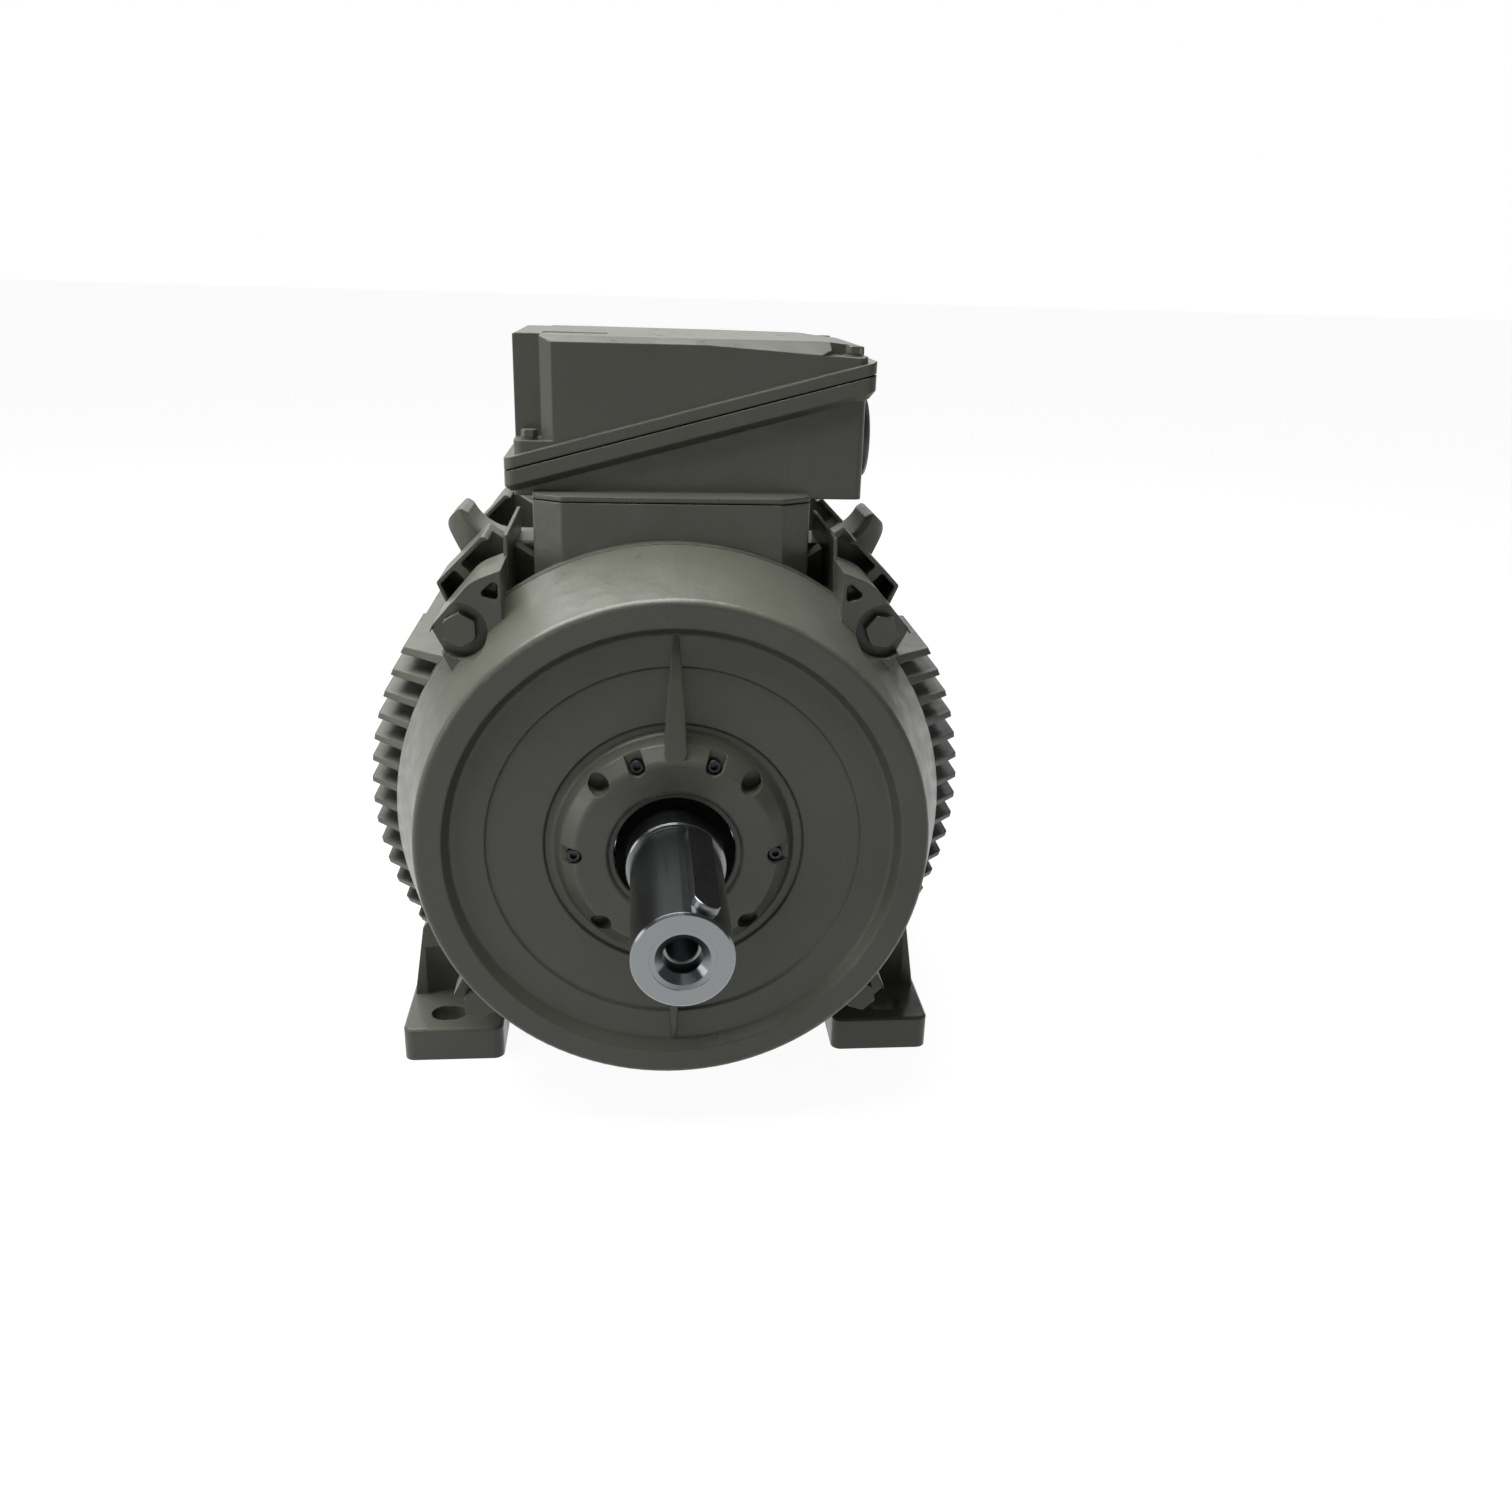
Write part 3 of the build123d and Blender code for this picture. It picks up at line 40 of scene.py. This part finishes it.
# ---------------------------------------------------------------- node helpers
class Recipe:
    """A material under construction: its Principled shader and a short way to add nodes."""

    def __init__(self, name, color, roughness, metallic=0.0):
        self.material = bpy.data.materials.new(name)
        self.material.use_nodes = True
        self.tree = self.material.node_tree
        self.shader = self.tree.nodes["Principled BSDF"]
        self.shader.inputs["Base Color"].default_value = (*color, 1)
        self.shader.inputs["Roughness"].default_value = roughness
        self.shader.inputs["Metallic"].default_value = metallic
        self.normal = None
        self.coords = self.add("ShaderNodeTexCoord").outputs["Object"]

    def add(self, kind, **settings):
        """Adds a node and sets its attributes."""
        node = self.tree.nodes.new(kind)
        for key, value in settings.items():
            setattr(node, key, value)
        return node

    def link(self, source, target):
        """Joins an output socket to an input socket."""
        self.tree.links.new(source, target)

    def position(self):
        """The X, Y and Z of the point being shaded."""
        parts = self.add("ShaderNodeSeparateXYZ")
        self.link(self.coords, parts.inputs[0])
        return parts.outputs["X"], parts.outputs["Y"], parts.outputs["Z"]

    def noise(self, scale, detail=3.0, vector=None):
        """A noise value over the object's own coordinates, or over another vector."""
        node = self.add("ShaderNodeTexNoise")
        node.inputs["Scale"].default_value = scale
        node.inputs["Detail"].default_value = detail
        self.link(vector or self.coords, node.inputs["Vector"])
        return node.outputs["Fac"]

    def math(self, operation, first, second=0.0):
        """One arithmetic step on two numbers or sockets."""
        node = self.add("ShaderNodeMath", operation=operation)
        for socket, value in zip(node.inputs, (first, second)):
            if isinstance(value, (int, float)):
                socket.default_value = value
            else:
                self.link(value, socket)
        return node.outputs[0]

    def spread(self, value, low, high):
        """Maps the middle range of a noise value onto another range."""
        node = self.add("ShaderNodeMapRange")
        node.inputs["From Min"].default_value = NOISE_LOW
        node.inputs["From Max"].default_value = NOISE_HIGH
        node.inputs["To Min"].default_value = low
        node.inputs["To Max"].default_value = high
        self.link(value, node.inputs["Value"])
        return node.outputs["Result"]

    def tint(self, factor, low, high):
        """Colours the surface between two colours."""
        ramp = self.add("ShaderNodeValToRGB")
        ramp.color_ramp.elements[0].color = (*low, 1)
        ramp.color_ramp.elements[1].color = (*high, 1)
        self.link(factor, ramp.inputs["Fac"])
        self.link(ramp.outputs["Color"], self.shader.inputs["Base Color"])

    def vary_roughness(self, value, low, high):
        """Varies the roughness with a noise value."""
        self.link(self.spread(value, low, high), self.shader.inputs["Roughness"])

    def soften(self, radius):
        """Rounds the look of every edge by the given radius."""
        node = self.add("ShaderNodeBevel", samples=EDGE_SAMPLES)
        node.inputs["Radius"].default_value = radius
        self.normal = node.outputs["Normal"]
        self.link(self.normal, self.shader.inputs["Normal"])

    def bump(self, height, distance, strength):
        """Adds relief from a height value, on top of any relief already there."""
        node = self.add("ShaderNodeBump")
        node.inputs["Distance"].default_value = distance
        node.inputs["Strength"].default_value = strength
        self.link(height, node.inputs["Height"])
        if self.normal is not None:
            self.link(self.normal, node.inputs["Normal"])
        self.normal = node.outputs["Normal"]
        self.link(self.normal, self.shader.inputs["Normal"])


# ---------------------------------------------------------------- materials
def paint(name, grain, edge=0.0015):
    """Semi-gloss stone-grey paint; grain is the strength of the casting's relief under it."""
    recipe = Recipe(name, STONE_GREY, 0.34)
    recipe.tint(recipe.spread(recipe.noise(14, 4), 0, 1), STONE_GREY_DARK, STONE_GREY_LIGHT)
    recipe.vary_roughness(recipe.noise(60), 0.27, 0.38)
    recipe.soften(edge)
    recipe.bump(recipe.noise(38), 0.0016, grain)
    recipe.bump(recipe.noise(700, 2), 0.00012, grain)
    recipe.shader.inputs["Specular IOR Level"].default_value = 0.42
    return recipe.material


def tool_marks(recipe, depth, radius):
    """Fine rings round the shaft axis, as a lathe leaves them."""
    rings = recipe.add("ShaderNodeCombineXYZ")
    recipe.link(recipe.math("MULTIPLY", radius, 2400), rings.inputs["X"])
    recipe.link(recipe.math("MULTIPLY", depth, 700), rings.inputs["Y"])
    recipe.bump(recipe.noise(1.0, 2, rings.outputs[0]), 0.000012, 0.6)


def centre_hole_thread(recipe, across, depth, level, radius):
    """A helical ridge inside the shaft's centre hole."""
    turn = recipe.math("MULTIPLY", recipe.math("ARCTAN2", level, across), 1 / (2 * pi))
    pitches = recipe.math("MULTIPLY", depth, 1 / THREAD_PITCH)
    helix = recipe.math("FRACT", recipe.math("ADD", pitches, turn))
    crest = recipe.math("ABSOLUTE", recipe.math("SUBTRACT", helix, 0.5))
    inside = recipe.math("LESS_THAN", radius, CENTRE_HOLE_RADIUS)
    recipe.bump(recipe.math("MULTIPLY", crest, inside), 0.0022, 0.9)


def turned_steel(name, color, roughness):
    """Bright turned steel, with fine rings round the shaft axis and a thread in the centre hole."""
    recipe = Recipe(name, color, roughness, 1.0)
    across, depth, height = recipe.position()
    level = recipe.math("SUBTRACT", height, SHAFT_HEIGHT)
    squares = recipe.math("ADD", recipe.math("POWER", across, 2), recipe.math("POWER", level, 2))
    radius = recipe.math("SQRT", squares)
    recipe.vary_roughness(recipe.noise(45), roughness * 0.97, roughness * 1.04)
    recipe.soften(0.0004)
    tool_marks(recipe, depth, radius)
    centre_hole_thread(recipe, across, depth, level, radius)
    around = recipe.add("ShaderNodeTangent", direction_type="RADIAL", axis="Y")
    recipe.link(around.outputs["Tangent"], recipe.shader.inputs["Tangent"])
    recipe.shader.inputs["Anisotropic"].default_value = 0.6
    recipe.shader.inputs["Anisotropic Rotation"].default_value = 0.25
    return recipe.material


def plated(name, color, roughness, evenness=0.8):
    """Bare, plated or blackened metal with a slightly cloudy finish; evenness 1 has no clouds."""
    recipe = Recipe(name, color, roughness, 1.0)
    dark = tuple(evenness * c for c in color)
    recipe.tint(recipe.spread(recipe.noise(180), 0, 1), dark, color)
    recipe.vary_roughness(recipe.noise(400, 2), roughness * evenness, roughness / evenness)
    recipe.soften(0.0003)
    return recipe.material


def moulded(name, color, roughness, gloss=0.5):
    """Moulded plastic or rubber with a fine matt grain."""
    recipe = Recipe(name, color, roughness)
    light = tuple(1.25 * c + 0.003 for c in color)
    recipe.tint(recipe.spread(recipe.noise(30), 0, 1), color, light)
    recipe.vary_roughness(recipe.noise(90, 2), roughness * 0.9, min(1.0, roughness * 1.15))
    recipe.soften(0.0004)
    recipe.bump(recipe.noise(1500, 2), 0.00006, 0.4)
    recipe.shader.inputs["Specular IOR Level"].default_value = gloss
    return recipe.material


def sheet_stack(name):
    """The edges of stacked electrical sheet."""
    recipe = Recipe(name, (0.20, 0.20, 0.21), 0.45, 1.0)
    _, depth, _ = recipe.position()
    sheet = recipe.math("FRACT", recipe.math("MULTIPLY", depth, 1 / SHEET_THICKNESS))
    recipe.bump(sheet, 0.00008, 0.6)
    recipe.tint(recipe.noise(40), SHEET_DARK, SHEET_LIGHT)
    return recipe.material


def copper_coils(name):
    """Varnished copper coil ends, with the wires run round the ring."""
    recipe = Recipe(name, (0.35, 0.13, 0.04), 0.32)
    wire = recipe.add("ShaderNodeTexWave", wave_type="RINGS", rings_direction="Y")
    wire.inputs["Scale"].default_value = 180
    wire.inputs["Distortion"].default_value = 2.5
    recipe.link(recipe.coords, wire.inputs["Vector"])
    recipe.tint(wire.outputs["Fac"], COPPER_DARK, COPPER_LIGHT)
    recipe.bump(wire.outputs["Fac"], 0.0008, 0.8)
    recipe.shader.inputs["Coat Weight"].default_value = 0.5
    return recipe.material


def plate_metal(name):
    """Brushed aluminium plate with blank ruled fields and no lettering."""
    recipe = Recipe(name, PLATE_BRIGHT, 0.34, 1.0)
    stretched = recipe.add("ShaderNodeMapping")
    stretched.inputs["Scale"].default_value = (1, 6, 900)
    recipe.link(recipe.coords, stretched.inputs["Vector"])
    recipe.bump(recipe.noise(3, 2, stretched.outputs["Vector"]), 0.00004, 0.5)
    _, depth, height = recipe.position()
    rows = recipe.math("FRACT", recipe.math("MULTIPLY", height, 1 / PLATE_ROW))
    columns = recipe.math("FRACT", recipe.math("MULTIPLY", depth, 1 / PLATE_COLUMN))
    on_row = recipe.math("LESS_THAN", rows, 0.07)
    on_column = recipe.math("LESS_THAN", columns, 0.02)
    recipe.tint(recipe.math("MAXIMUM", on_row, on_column), PLATE_BRIGHT, PLATE_LINES)
    return recipe.material


def single_finishes():
    """The material of each node that has one to itself, and of the three castings."""
    cast = paint("cast_paint", 0.55)
    return {
        "stator_frame": cast,
        "endshield_de": cast,
        "endshield_nde": cast,
        "terminal_box_base": paint("box_paint", 0.4),
        "terminal_box_lid": paint("lid_paint", 0.4),
        "fan_cover": paint("cover_paint", 0.15, 0.0008),
        "endshield_bolts_de": paint("bolt_paint", 0.2, 0.0006),
        "endshield_bolts_nde": paint("rear_bolt_paint", 0.2, 0.0006),
        "lid_screws": paint("lid_screw_paint", 0.2, 0.0004),
        "shaft": turned_steel("shaft_steel", (0.22, 0.235, 0.24), 0.22),
        "shaft_key": plated("key_steel", (0.17, 0.18, 0.185), 0.28, 0.97),
        "fan_key": plated("fan_key_steel", (0.36, 0.38, 0.40), 0.3),
        "stator_core": sheet_stack("stator_sheets"),
        "rotor_core": sheet_stack("rotor_sheets"),
        "rotor_cage": plated("cast_aluminium", (0.72, 0.72, 0.73), 0.42),
        "rating_plate": plate_metal("plate_metal"),
        "cable_entry_plugs": moulded("plug_plastic", (0.12, 0.123, 0.112), 0.45),
        "fan": moulded("fan_plastic", (0.015, 0.015, 0.015), 0.5),
        "drain_plugs": moulded("drain_plastic", (0.015, 0.015, 0.015), 0.5),
        "terminal_board": moulded("board_resin", (0.11, 0.035, 0.018), 0.4),
    }


def shared_finishes():
    """Each material that several nodes share, with the names of those nodes."""
    return {
        plated("zinc_plate", (0.58, 0.58, 0.55), 0.3): [
            "fan_cover_screws", "base_screws", "inner_earth_screw", "outer_earth_terminal",
            "rating_plate_rivets"],
        plated("black_oxide", (0.05, 0.05, 0.055), 0.4): [
            "cap_screws_de", "cap_screws_nde", "fan_circlip", "preload_spring"],
        plated("bearing_steel", (0.66, 0.67, 0.69), 0.12): [
            "bearing_outer_ring_de", "bearing_outer_ring_nde", "bearing_inner_ring_de",
            "bearing_inner_ring_nde", "bearing_balls_de", "bearing_balls_nde"],
        plated("cage_steel", (0.45, 0.43, 0.38), 0.35): ["bearing_cage_de", "bearing_cage_nde"],
        plated("machined_iron", (0.22, 0.22, 0.22), 0.45): ["bearing_cap_de", "bearing_cap_nde"],
        plated("brass", (0.72, 0.48, 0.16), 0.25): ["terminal_studs", "terminal_links", "terminal_nuts"],
        copper_coils("coil_copper"): ["end_winding_de", "end_winding_nde"],
        moulded("black_rubber", (0.0015, 0.0016, 0.0018), 0.8, 0.08): [
            "v_ring_de", "v_ring_nde", "lid_gasket", "base_gasket", "plug_seals"],
    }


def dress_nodes(nodes):
    """Gives every CAD node its finished material."""
    finishes = single_finishes()
    for material, names in shared_finishes().items():
        finishes.update(dict.fromkeys(names, material))
    for name, node in nodes.items():
        node.data.materials.clear()
        node.data.materials.append(finishes[name])


# ---------------------------------------------------------------- stage
def floor():
    """A wide, evenly lit pale floor; its own glow stands for the light table under such product shots."""
    bpy.ops.mesh.primitive_plane_add(size=FLOOR_SIZE, location=(0, 0, -FLOOR_DROP))
    plane = bpy.context.object
    plane.name = "floor"
    recipe = Recipe("pale_floor", (FLOOR_ALBEDO, FLOOR_ALBEDO, FLOOR_ALBEDO), 0.8)
    recipe.shader.inputs["Specular IOR Level"].default_value = 0.0
    recipe.shader.inputs["Emission Color"].default_value = WHITE
    recipe.shader.inputs["Emission Strength"].default_value = FLOOR_GLOW
    plane.data.materials.append(recipe.material)
    plane.visible_diffuse = False


def lamp(name, place, aim, size, watts):
    """A rectangular soft light aimed at a point."""
    data = bpy.data.lights.new(name, "AREA")
    data.shape = "RECTANGLE"
    data.size, data.size_y = size
    data.energy = watts
    light = bpy.data.objects.new(name, data)
    light.location = place
    direction = Vector(aim) - Vector(place)
    light.rotation_euler = direction.to_track_quat("-Z", "Y").to_euler()
    bpy.context.scene.collection.objects.link(light)


def backdrop():
    """A world that is white to the camera and only a weak light to the motor."""
    world = bpy.data.worlds.new("studio")
    bpy.context.scene.world = world
    world.use_nodes = True
    nodes, links = world.node_tree.nodes, world.node_tree.links
    background = nodes["Background"]
    path = nodes.new("ShaderNodeLightPath")
    strength = nodes.new("ShaderNodeMapRange")
    strength.inputs["To Min"].default_value = SKY_LIGHT
    strength.inputs["To Max"].default_value = 1.0
    links.new(path.outputs["Is Camera Ray"], strength.inputs["Value"])
    links.new(strength.outputs["Result"], background.inputs["Strength"])
    background.inputs["Color"].default_value = WHITE


def studio():
    """A large soft light from above, weak ones from the front left and the back, and the backdrop."""
    lamp("top_light", (-0.6, 0.1, 2.1), (0, 0.0, 0.1), (2.0, 2.0), 96)
    lamp("left_fill", (-2.2, -1.0, 0.6), (0, -0.1, 0.1), (1.2, 0.8), 8)
    lamp("back_light", (-0.3, 2.4, 1.4), (0, 0, 0.4), (2.6, 0.8), 10)
    backdrop()


def camera():
    """The camera that looks down at the drive end."""
    flat = cos(CAMERA_PITCH)
    forward = Vector((sin(CAMERA_YAW) * flat, cos(CAMERA_YAW) * flat, -sin(CAMERA_PITCH)))
    level = Vector((cos(CAMERA_YAW), -sin(CAMERA_YAW), 0))
    upright = level.cross(forward)
    right = cos(CAMERA_ROLL) * level + sin(CAMERA_ROLL) * upright
    up = cos(CAMERA_ROLL) * upright - sin(CAMERA_ROLL) * level
    data = bpy.data.cameras.new("camera")
    data.lens = LENS_MM
    data.sensor_width = SENSOR_MM
    viewer = bpy.data.objects.new("camera", data)
    turn = Matrix((right, up, -forward)).transposed()
    viewer.matrix_world = Matrix.Translation(CAMERA_PLACE) @ turn.to_4x4()
    bpy.context.scene.collection.objects.link(viewer)
    bpy.context.scene.camera = viewer


# ---------------------------------------------------------------- build the scene
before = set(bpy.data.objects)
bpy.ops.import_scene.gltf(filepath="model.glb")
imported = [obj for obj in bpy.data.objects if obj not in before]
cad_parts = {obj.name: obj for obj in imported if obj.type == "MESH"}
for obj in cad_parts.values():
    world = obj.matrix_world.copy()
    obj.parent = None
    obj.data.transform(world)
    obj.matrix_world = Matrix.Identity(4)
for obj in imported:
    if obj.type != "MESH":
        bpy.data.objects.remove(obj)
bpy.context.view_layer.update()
camera()
studio()
floor()
dress_nodes(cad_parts)
bpy.context.scene.view_settings.view_transform = "Standard"
